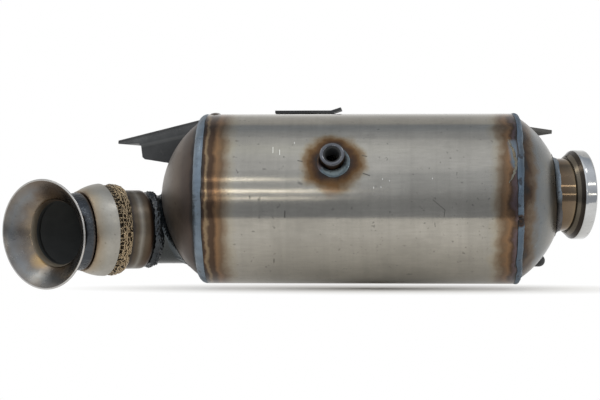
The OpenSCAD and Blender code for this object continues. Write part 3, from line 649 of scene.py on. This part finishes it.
for node_name, material in dress.items():
    node = nodes[node_name]
    node.data.materials.clear()
    node.data.materials.append(material)


# Seam beads between the domes and the shell, flat on top with wandering edges

def ring_bead(m, centre_r, centre_z, r, low, high, wander):
    """A bead round the frame's z on a circle, from low to high degrees off the axis."""
    def surface(t, u, h):
        n = len(t)
        swing = wander * ((1 - u) / 2 * wave(n, 26)[:, None] + (1 + u) / 2 * wave(n, 34)[:, None])
        a = np.radians((low + high) / 2 + u * (high - low) / 2 + swing)
        rr = centre_r + (r + h) * np.sin(a)
        zz = centre_z + (r + h) * np.cos(a)
        turn_a = 2 * math.pi * t
        return place(m, np.stack([rr * np.cos(turn_a), rr * np.sin(turn_a), zz], -1))
    return surface


def seam_fillet(m, dome_deg, shell_z, bulge, wander):
    """A narrow wandering bead from a place on the dome, in degrees off its axis, to one on the shell."""
    def surface(t, u, h):
        n = len(t)
        sway = wander * wave(n, 90)[:, None]
        low = np.radians(dome_deg - np.degrees((sway + 0.5 * wander * wave(n, 30)[:, None]) / DOME_R))
        toe_r, toe_z = DOME_R * np.sin(low), DOME_R * np.cos(low)
        z = shell_z + sway + 0.5 * wander * wave(n, 34)[:, None]
        k = (u + 1) / 2
        run_r, run_z = SHELL_R - toe_r, z - toe_z
        size = np.hypot(run_r, run_z)
        lift = bulge * (1 - u * u) ** 0.7 + h
        rr = toe_r + k * run_r - lift * run_z / size
        zz = toe_z + k * run_z + lift * run_r / size
        turn_a = 2 * math.pi * t
        return place(m, np.stack([rr * np.cos(turn_a), rr * np.sin(turn_a), zz], -1))
    return surface


def run_on_shell(line, half, high, sway):
    """A short bead over places on the shell, which are x and degrees up from the camera's side."""
    spots = np.linspace(0, 1, len(line))

    def surface(t, u, h):
        ends = np.sin(math.pi * np.clip(t, 0.02, 0.98)) ** 0.5
        wiggle = sway * wave(len(t), 8, False)[:, None]
        x = np.interp(t, spots, line[:, 0]) + wiggle + half * ends * u
        a = np.radians(np.interp(t, spots, line[:, 1]))
        r = SHELL_R + high * (1 - u * u) * ends + h * ends - 0.05
        return np.stack([x, -r * np.cos(a), r * np.sin(a)], -1)
    return surface


def girth(r):
    return 2 * math.pi * r


inlet_ring = ring_bead(IN_DOME, centre_r=SHELL_R - 8, centre_z=44.984, r=7.9, low=1, high=99, wander=3.6)
bead("inlet_bead", inlet_ring, girth(SHELL_R), weld_mat, "inlet_seam_weld", depth=0.12, lump=0.10,
     crown=2.5, flip=True, stops=[(0.36, 1.2, -0.5), (0.875, 0.9, -0.5)], edge=toe_crease_shade)
outlet_ring = seam_fillet(OUT_DOME, dome_deg=55.9, shell_z=42.9, bulge=2.3, wander=0.75)
bead("outlet_bead", outlet_ring, girth(SHELL_R), seam_mat, "outlet_seam_weld", depth=0.15, lump=0.14,
     flip=True, stops=[(0.786, 1.6, -2.0), (0.796, 4, 0.5), (0.30, 5, 0.6)], edge=toe_crease_shade)

# A short run of spilt weld beside the outlet seam, and a lump of weld on top by the inlet seam
SPILL = np.array([(130.6, 42.7), (133.0, 36.5), (135.3, 31.1), (136.9, 26.0), (137.0, 21.6),
                  (134.5, 15.5), (130.4, 10.1)])
LUMP = np.array([(-133.5, 80.0), (-133.0, 97.0)])
SPILL_LENGTH = 46
LUMP_LENGTH = 23
bead("spilt_weld", run_on_shell(SPILL, half=1.6, high=0.5, sway=0.3), SPILL_LENGTH, spill_mat, pitch=1.6,
     depth=0.06, lump=0.08, across=9, dip=0.1, closed=False)
bead("weld_lump", run_on_shell(LUMP, half=5.0, high=1.3, sway=0.2), LUMP_LENGTH, lump_mat, pitch=3.0,
     depth=0.1, lump=0.1, across=11, dip=0.1, closed=False)


# Fillet welds around tubes that pierce a surface

def dome_height(m, side):
    """Gives z on the local axis where a line at x, y leaves a dome."""
    c = place(np.linalg.inv(m), (side * DOME_C, 0, 0))
    return lambda x, y: c[2] + np.sqrt(DOME_R ** 2 - (x - c[0]) ** 2 - (y - c[1]) ** 2)


def shell_height(x, y):
    return np.sqrt(SHELL_R ** 2 - y * y)


def fillet(m, r, z_at, up, out, bulge, wander=0.35, sink=0.12, lean=0.0):
    """A weld from up a tube's side to out on the surface that it pierces, wider by lean at x."""
    def surface(t, u, h):
        n = len(t)
        a = 2 * math.pi * t
        ca, sa = np.cos(a), np.sin(a)
        low_r = r + out + lean * ca + wander * wave(n, 22)[:, None]
        top_z = z_at(r * ca, r * sa) + up + wander * wave(n, 18)[:, None]
        top = np.stack([r * ca, r * sa, top_z], -1)
        low = np.stack([low_r * ca, low_r * sa, z_at(low_r * ca, low_r * sa)], -1)
        k = ((u + 1) / 2)[..., None]
        normal = np.cross(np.stack([-sa, ca, 0 * a], -1), low - top)
        normal /= np.linalg.norm(normal, axis=-1, keepdims=True)
        lift = (bulge * (1 - u * u) + h - sink)[..., None]
        return place(m, top * (1 - k) + low * k + normal * lift)
    return surface


tube_foot = fillet(STUB, TUBE_R, dome_height(STUB, -1), up=4.2, out=5.6, bulge=0.9)
bead("tube_fillet", tube_foot, girth(TUBE_R + 3), tube_weld, "inlet_tube_weld", pitch=2.8, depth=0.35,
     lump=0.25)
neck_foot = fillet(NECK, NECK_R, dome_height(NECK, 1), up=3.2, out=4.4, bulge=0.9)
bead("neck_fillet", neck_foot, girth(NECK_R + 3), neck_weld, "outlet_neck_weld", pitch=2.4, depth=0.25,
     lump=0.15, stops=[(0.245, 3.2, 1.6)])
boss_ring = fillet(BOSS, BOSS_R, shell_height, up=6.6, out=3.3, bulge=0.9, wander=0.3, lean=1.0)
bead("boss_fillet", boss_ring, girth(BOSS_R + 2), boss_weld, "sensor_boss_weld", pitch=2.0, depth=0.14,
     lump=0.10, across=13, stops=[(0.62, 3, 0.6)])

# The rough weld between the inlet tube and the ball
BALL_FOOT = BALL @ shift(0, 0, -BALL_REACH)
BALL_WELD_R = 34.5
rough_ring = ring_bead(BALL_FOOT, centre_r=27.5, centre_z=0, r=6.8, low=47, high=147, wander=6.0)
bead("ball_bead", rough_ring, girth(BALL_WELD_R), ball_weld, "decoupler_ball_weld", pitch=6.0, depth=1.1,
     lump=0.95, crown=1.5, across=21, skew=1.4, flip=True)


# The bell with its rounded rim, and the welded collar that runs down onto it

BELL_THROAT = 28.7
BELL_FOOT = 0.15
BELL_WALL = 1.8
BELL_CONE = 134
CURVE = (38.7, 6.0, 10.0)
RIM_MID = (48.378, 27.997)
bell_materials = [bell_mat, edge_mat, throat_soot, collar_mat, lip_mat]
BARE, EDGE, THROAT, COLLAR_SHADE, LIP = range(len(bell_materials))
bell_profile = [(BELL_THROAT, BELL_FOOT), (BELL_THROAT, 5.4)]
bell_finish = [THROAT, LIP]
bell_profile += arc(*CURVE, 180, BELL_CONE, 14)
bell_finish += [LIP] * 9 + [BARE] * 5
bell_profile += [(37.1, 18.36), (42.4, 23.48)]
bell_finish += [BARE] * 2
bell_profile += arc(*RIM_MID, BELL_WALL / 2, BELL_CONE, BELL_CONE - 180, 9)
bell_finish += [EDGE] * 5 + [BARE] * 4
bell_profile += [(43.7, 22.24), (38.4, 17.12)]
bell_finish += [BARE] * 2
# The outer curve and throat of the bell take the dark weld material: painted shade beside the collar weld
bell_profile += arc(CURVE[0], CURVE[1], CURVE[2] - BELL_WALL, BELL_CONE, 180, 9)
bell_finish += [COLLAR_SHADE] * 9
bell_profile += [(BELL_THROAT + BELL_WALL, BELL_FOOT)]
bell_finish += [THROAT]


def bell_wobble(a, r):
    """The rim is slightly out of round and not quite flat."""
    k = np.clip((r - 30) / 20, 0, 1)
    return k * 0.12 * np.sin(3 * a + 0.6), k * 0.18 * np.sin(2 * a + 1.1)


lathe("bell", bell_profile, MOUTH, bell_materials, "inlet", segs=176, finish=bell_finish,
      wobble=bell_wobble, stands_for=("inlet_bell",), slot="tinted", flip=True)

COLLAR_R = 35.6
COLLAR_FOOT = (31.6, 6.5)
COLLAR_BULGE = 0.5
COLLAR_MEAN_R = 34


def collar(t, u, h):
    a = 2 * math.pi * t
    ca, sa = np.cos(a), np.sin(a)
    k = ((u + 1) / 2)[..., None]
    foot_r, foot_z = COLLAR_FOOT
    top = place(SOCKET, np.stack([COLLAR_R * ca, COLLAR_R * sa, 0 * a + SOCKET_END], -1))
    foot = place(MOUTH, np.stack([foot_r * ca, foot_r * sa, 0 * a + foot_z], -1))
    out = np.stack([ca, sa, 0 * a], -1) @ SOCKET[:3, :3].T
    return top * (1 - k) + foot * k + out * (COLLAR_BULGE * (1 - u * u) + h)[..., None]


bead("bell_collar", collar, girth(COLLAR_MEAN_R), collar_mat, "bell_weld", "inlet", pitch=3.0, depth=0.25,
     lump=0.2, across=21, skew=1.6, dip=1.0, flip=True)


# Knitted wire over the mesh ring, squeezed flat, with stray ends

WIRE_SEAT = 40.15
WIRE_ROLL = 41.75
WIRE_R = 0.52
LOOPS = 30
LOOP_STEPS = 14
ROW_STEP = 3.4
ROW_HALF = 2.9
STRAYS = 150
STRAY_STEPS = 13
LIFT_OVER = 0.8
knit_path = [(math.sqrt(WIRE_SEAT ** 2 - z * z), z) for z in np.linspace(8, -4.4, 9)]
knit_path += [(math.sqrt(WIRE_ROLL ** 2 - z * z), z) for z in np.linspace(-6, -15, 9)]
knit_path += [(38.2, -15.8), (37.5, -15.3)]
knit_path = np.array(knit_path)
knit_at = np.concatenate([[0], np.cumsum(np.linalg.norm(np.diff(knit_path, axis=0), axis=1))])
ROLL_AT = knit_at[9]


def wire_line(s, a, lift):
    """Points on the ring at s across it and a around it, lifted off where the roll leaves room."""
    s = np.clip(s, 0, knit_at[-1])
    r = np.interp(s, knit_at, knit_path[:, 0])
    z = np.interp(s, knit_at, knit_path[:, 1])
    r = r + lift * np.clip((s - ROLL_AT) / LIFT_OVER, 0, 1)
    return np.stack([r * np.cos(a), r * np.sin(a), z], -1)


def wire_tube(line, radius, closed, first, sides=5):
    """Points and faces of a round wire along a line; first is the number of its first point."""
    ahead = np.roll(line, -1, 0)
    back = np.roll(line, 1, 0)
    if not closed:
        ahead[-1] = line[-1]
        back[0] = line[0]
    tan = ahead - back
    tan /= np.linalg.norm(tan, axis=1)[:, None]
    out = line * np.array([1, 1, 0])
    side = np.cross(tan, out)
    side /= np.linalg.norm(side, axis=1)[:, None]
    up = np.cross(side, tan)
    b = np.linspace(0, 2 * math.pi, sides, endpoint=False)[None, :, None]
    pts = line[:, None] + radius * (np.cos(b) * up[:, None] + np.sin(b) * side[:, None])
    n = len(line)
    faces = grid_faces(n, sides, closed, True, first)
    if not closed:
        faces.append(tuple(range(first, first + sides)))
        faces.append(tuple(range(first + n * sides - 1, first + (n - 1) * sides - 1, -1)))
    return pts.reshape(-1, 3), faces


def knit():
    """Rows of loops around the ring, and stray wires over them."""
    pts = []
    faces = []
    first = 0
    n = LOOPS * LOOP_STEPS
    t = 2 * math.pi * np.arange(n) / LOOP_STEPS
    for k, s0 in enumerate(np.arange(0.8, knit_at[-1] - 0.4, ROW_STEP)):
        phase = t + (k % 2) * math.pi + 0.5 * wave(n, 24)
        a = (t + 0.75 * np.sin(2 * phase) + 0.5 * wave(n, 16)) / LOOPS
        s = s0 + (ROW_HALF + 0.6 * wave(n, 11)) * np.cos(phase) + 0.6 * wave(n, 19)
        lift = 0.25 + 0.25 * np.cos(2 * phase + k) + 0.16 * wave(n, 13)
        p, f = wire_tube(wire_line(s, a, lift), WIRE_R, True, first)
        pts.append(p)
        faces += f
        first += len(p)
    m = STRAY_STEPS
    for _ in range(STRAYS):
        run = np.linspace(0, rng.uniform(7, 15), m)
        lean = rng.uniform(-0.9, 0.9)
        a = rng.uniform(0, 2 * math.pi) + (run * math.cos(lean) + 0.5 * wave(m, 3, False)) / WIRE_ROLL
        s = rng.uniform(ROLL_AT, knit_at[-1]) + run * math.sin(lean) * 0.45 + 0.35 * wave(m, 3, False)
        lift = 0.35 + 0.22 * wave(m, 3, False)
        lift[0] = -0.3
        lift[-1] = -0.3
        p, f = wire_tube(wire_line(s, a, lift), rng.uniform(0.42, 0.62), False, first)
        pts.append(p)
        faces += f
        first += len(p)
    return place(BALL, np.concatenate(pts)), faces


wire_pts, wire_faces = knit()
build("knitted_wire", wire_pts, wire_faces, wire_mat, "mesh", slot="mesh")


# The sensor boss with its thread

THREAD_R = 6.25
THREAD_DEPTH = 0.72
THREAD_PITCH = 1.5


def threaded_boss():
    segs = 72
    rows = 90
    top = SHELL_R + BOSS_H
    low = SHELL_R - 0.8
    rim = [(BOSS_R, low), (BOSS_R, top - 0.9), (10.75, top - 0.35), (10.2, top - 0.05), (9.6, top),
           (8.3, top), (7.75, top - 0.45), (7.1, top - 1.2)]
    pts = []
    for i in range(segs):
        a = 2 * math.pi * i / segs
        z = np.linspace(top - 1.3, low, rows)
        r = THREAD_R + THREAD_DEPTH * np.abs((z / THREAD_PITCH - i / segs) % 1 - 0.5) * 2
        col = np.concatenate([np.stack([r, z], 1), rim])
        pts.append(np.stack([col[:, 0] * math.cos(a), col[:, 0] * math.sin(a), col[:, 1]], 1))
    last = rows + len(rim)
    faces = grid_faces(segs, last, True, True)
    deep = [1 if j < rows - 1 or j >= last - 2 else 0 for j in range(last)] * segs
    return place(BOSS, np.concatenate(pts)), faces, deep


boss_pts, boss_faces, boss_deep = threaded_boss()
build("threaded_boss", boss_pts, boss_faces, [boss_mat, soot], "can", ("sensor_boss",), "boss",
      pick=boss_deep, sharp=50)

# The clamp flange with eased edges, a gasket groove and a conical back in painted shade, darker towards
# the rim
flange_profile = [(32.0, 14.0), (32.0, 19.4), (32.5, 19.9), (34.0, 19.9), (34.1, 18.8), (36.9, 18.8),
                  (37.0, 19.9), (39.6, 19.9), (40.3, 19.65), (40.65, 19.0), (40.7, 18.0), (40.7, 12.0),
                  (40.6, 10.4), (40.1, 9.3), (39.2, 8.5), (37.1, 6.05), (35.0, 3.6), (34.2, 2.6),
                  (33.15, 2.45), (33.15, 13.9)]
flange_materials = [flange_mat, cone_shade_mat, soot, root_half_shade_mat]
POLISHED, BACK, BORE, ROOT = range(len(flange_materials))
flange_finish = [BORE] + [POLISHED] * 12 + [BACK] * 2 + [ROOT] * 5
lathe("clamp_flange", flange_profile, NECK, flange_materials, "can", finish=flange_finish,
      stands_for=("outlet_flange",), slot="polished", sharp=50)

# Eased edges on the folded sheet, in metres
BEVEL_W = 0.0005
BEVEL_FROM = math.radians(40)

for bracket in ("inlet_bracket", "top_bracket", "outlet_bracket"):
    bev = nodes[bracket].modifiers.new("edge", "BEVEL")
    bev.width = BEVEL_W
    bev.segments = 2
    bev.limit_method = "ANGLE"
    bev.angle_limit = BEVEL_FROM


# The ceramic bricks with cells at nearly their true pitch

def cell_brick(name, node, slot, materials, plugged, pitch=1.95, wall=0.42, depth=5.0, plug_depth=0.12):
    """A brick with a grid of cells sunk into both ends; plugged shuts every other cell."""
    low, high = (np.array(c) * 1000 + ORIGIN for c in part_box(node))
    r = (high[2] - low[2]) / 2
    count = int(r / pitch) + 1
    half = (pitch - wall) / 2
    segs = 96
    pts = []
    ring = [(r * math.cos(a), r * math.sin(a)) for a in np.linspace(0, 2 * math.pi, segs, endpoint=False)]
    for x in (low[0] + depth, high[0] - depth):
        pts += [(x, y, z) for y, z in ring]
    faces = [(i, segs + i, segs + (i + 1) % segs, (i + 1) % segs) for i in range(segs)]
    faces += [tuple(range(segs)), tuple(range(2 * segs - 1, segs - 1, -1))]
    pick = [0] * len(faces)
    for x, out in ((low[0], -1), (high[0], 1)):
        corner = {}

        def lattice(i, j):
            if (i, j) not in corner:
                corner[(i, j)] = len(pts)
                pts.append((x, (i - 0.5) * pitch, (j - 0.5) * pitch))
            return corner[(i, j)]
        for i in range(-count, count + 1):
            for j in range(-count, count + 1):
                if math.hypot(abs(i) + 0.5, abs(j) + 0.5) * pitch > r:
                    continue
                shut = plugged and (i + j + (out > 0)) % 2 == 0
                rim = [lattice(i, j), lattice(i + 1, j), lattice(i + 1, j + 1), lattice(i, j + 1)]
                inner = len(pts)
                for back in (0, plug_depth if shut else depth):
                    pts += [(x - out * back, i * pitch + dy * half, j * pitch + dz * half)
                            for dy, dz in ((-1, -1), (1, -1), (1, 1), (-1, 1))]
                cell = []
                for k in range(4):
                    n = (k + 1) % 4
                    cell.append((rim[k], rim[n], inner + n, inner + k))
                    cell.append((inner + k, inner + n, inner + 4 + n, inner + 4 + k))
                pick += [0] * len(cell) + [1 if shut else 0]
                cell.append(tuple(range(inner + 4, inner + 8)))
                faces += cell if out > 0 else [f[::-1] for f in cell]
    return build(name, pts, faces, materials, "can", (node,), slot, pick=pick, sharp=30)


cell_brick("filter_cells", "filter_brick", "filter", [filter_mat, plug_mat], True)
cell_brick("catalyst_cells", "catalyst_brick", "catalyst", [catalyst_mat], False)


# Stage: a white sheet that ends in front of the part, soft lamps and a pale room

FLOOR_FRONT = -210
FLOOR_HALF = 4000
FLOOR_MID = -45
FLOOR_GAP = 0.001
GLOW_MID = 15
GLOW_SHAPE = (0.40, 1.0, 0.0)
GLOW_FROM = 0.0
GLOW_FULL = 0.118
PAPER = (0.86, 0.81, 0.71, 1)
floor_z = cad_box[0][2] - FLOOR_GAP
corners = [(FLOOR_MID - FLOOR_HALF, FLOOR_FRONT), (FLOOR_MID + FLOOR_HALF, FLOOR_FRONT),
           (FLOOR_MID + FLOOR_HALF, FLOOR_HALF), (FLOOR_MID - FLOOR_HALF, FLOOR_HALF)]
floor_mesh = bpy.data.meshes.new("floor")
floor_mesh.from_pydata([(*metres((x, y, 0))[:2], floor_z) for x, y in corners], [], [(0, 1, 2, 3)])
floor = bpy.data.objects.new("floor", floor_mesh)
bpy.context.scene.collection.objects.link(floor)
fm, ft, fp = start("floor_paper", 0.0)
fp.inputs["Base Color"].default_value = PAPER
fp.inputs["Roughness"].default_value = 0.9

# The sheet looks white to the eye and in the metal, except close under the part
middle = tuple(float(v) for v in metres((GLOW_MID, 0, 0)))
off = vector_node(ft, "MULTIPLY", vector_node(ft, "SUBTRACT", here(ft), middle), GLOW_SHAPE)
far = span(ft, vector_node(ft, "LENGTH", off), GLOW_FROM, GLOW_FULL)
rays = add(ft, "ShaderNodeLightPath")
seen = math_node(ft, "MAXIMUM", rays.outputs["Is Camera Ray"], rays.outputs["Is Glossy Ray"])
seen = math_node(ft, "MAXIMUM", seen, rays.outputs["Is Transmission Ray"])
glow = add(ft, "ShaderNodeEmission")
blend = add(ft, "ShaderNodeMixShader")
link(ft, math_node(ft, "MULTIPLY", far, seen), blend.inputs[0])
link(ft, fp.outputs[0], blend.inputs[1])
link(ft, glow.outputs[0], blend.inputs[2])
link(ft, blend.outputs[0], ft.nodes["Material Output"].inputs["Surface"])
floor_mesh.materials.append(fm)


def lamp(name, pos_mm, aim_mm, size, level, colour=(1, 1, 1), size_y=None):
    """A soft lamp whose face shines at the given level, where 1 is white."""
    data = bpy.data.lights.new(name, "AREA")
    data.shape = "RECTANGLE"
    data.size = size
    data.size_y = size_y or size
    data.energy = level * math.pi * size * data.size_y
    data.color = colour
    ob = bpy.data.objects.new(name, data)
    bpy.context.scene.collection.objects.link(ob)
    ob.location = metres(pos_mm)
    ob.rotation_euler = Vector(metres(aim_mm) - metres(pos_mm)).to_track_quat("-Z", "Y").to_euler()
    ob.visible_camera = False


WARM = (1.0, 0.95, 0.84)
STRIP_Y = -1977
OUTLET_AIM = (185, 0, 0)
BELL_AIM = (-290, -43, -60)
lamp("overhead", (-400, -800, 1700), (-50, 0, 0), size=1.8, level=0.2)
for name, x, z, size, level, size_y in (
        ("strip_high", -330, 935, 0.22, 4.0, 0.10),
        ("strip_mid", -280, 342, 0.31, 4.5, 0.09),
        ("strip_low", -280, 20, 0.31, 3.0, 0.07)):
    lamp(name, (x, STRIP_Y, z), (x, 0, z), size, level, WARM, size_y)
lamp("left_high", (-963, -250, 1263), BELL_AIM, size=0.30, level=4.0, colour=WARM)
lamp("right_high", (800, -900, 2000), OUTLET_AIM, size=0.5, level=4.0, size_y=0.35)
lamp("right_mid", (1335, -1640, 975), OUTLET_AIM, size=1.2, level=4.0, colour=WARM, size_y=0.12)
lamp("right_low", (1335, -1640, 40), OUTLET_AIM, size=1.2, level=3.5, colour=WARM, size_y=0.08)

world = bpy.data.worlds.new("room")
bpy.context.scene.world = world
world.use_nodes = True
wt = world.node_tree
bg = wt.nodes["Background"]
sep = add(wt, "ShaderNodeSeparateXYZ")
link(wt, add(wt, "ShaderNodeTexCoord").outputs["Generated"], sep.inputs[0])
height = span(wt, sep.outputs[2], -1, 1)

WHITE = (1, 1, 1)
COOL = (0.945, 0.995, 1.085)
BLUISH = (0.93, 1.02, 1.16)


def sky(levels, cast):
    """A ramp over height, from straight down at -1 to straight up at 1; a level may have its own cast."""
    stops = []
    for z, level, *own in levels:
        tone = own[0] if own else cast
        stops.append(((z + 1) / 2, tuple(min(1.0, level * c) for c in tone), 1))
    return ramp(wt, height, stops)[0]


front = sky([(-1, 0.45), (0.0, 0.42), (0.09, 0.50), (0.26, 0.64), (0.44, 0.72), (0.74, 0.79),
             (0.95, 0.80), (1.0, 0.66)], COOL)
front_left = sky([(-1, 0.45), (-0.1, 0.46), (0.0, 0.62), (0.1, 0.80), (0.45, 0.95), (0.65, 0.84),
                  (0.76, 0.82), (0.87, 0.95), (0.95, 1.0), (1.0, 0.72)], COOL)
back = sky([(-1, 0.9), (-0.2, 1.0), (0.27, 1.0), (0.59, 0.66), (0.85, 0.60), (0.885, 0.40, BLUISH),
            (0.95, 0.45, BLUISH), (1.0, 0.60, COOL)], WHITE)
front = mix(wt, span(wt, sep.outputs[0], 0.01, -0.09), front, front_left)
link(wt, mix(wt, span(wt, sep.outputs[1], -0.25, 0.25), front, back), bg.inputs["Color"])
bg.inputs["Strength"].default_value = 1.0

# Camera at the photograph's angle

CAMERA_TURN = math.radians(3)
CAMERA_FAR = 1720
CAMERA_LENS = 112.86
AIM_RIGHT = -55.7
AIM_UP = -1.14
right = np.array([math.cos(CAMERA_TURN), math.sin(CAMERA_TURN), 0])
forward = np.array([-math.sin(CAMERA_TURN), math.cos(CAMERA_TURN), 0])
target = AIM_RIGHT * right + np.array([0, 0, AIM_UP])
cam_data = bpy.data.cameras.new("camera")
cam = bpy.data.objects.new("camera", cam_data)
bpy.context.scene.collection.objects.link(cam)
cam_data.sensor_fit = "HORIZONTAL"
cam_data.sensor_width = 36
cam_data.lens = CAMERA_LENS
cam_data.clip_start = 0.05
cam_data.clip_end = 100
cam.location = metres(target - CAMERA_FAR * forward)
cam.rotation_euler = (math.radians(90), 0, CAMERA_TURN)
bpy.context.scene.camera = cam
bpy.context.scene.view_settings.view_transform = "Standard"
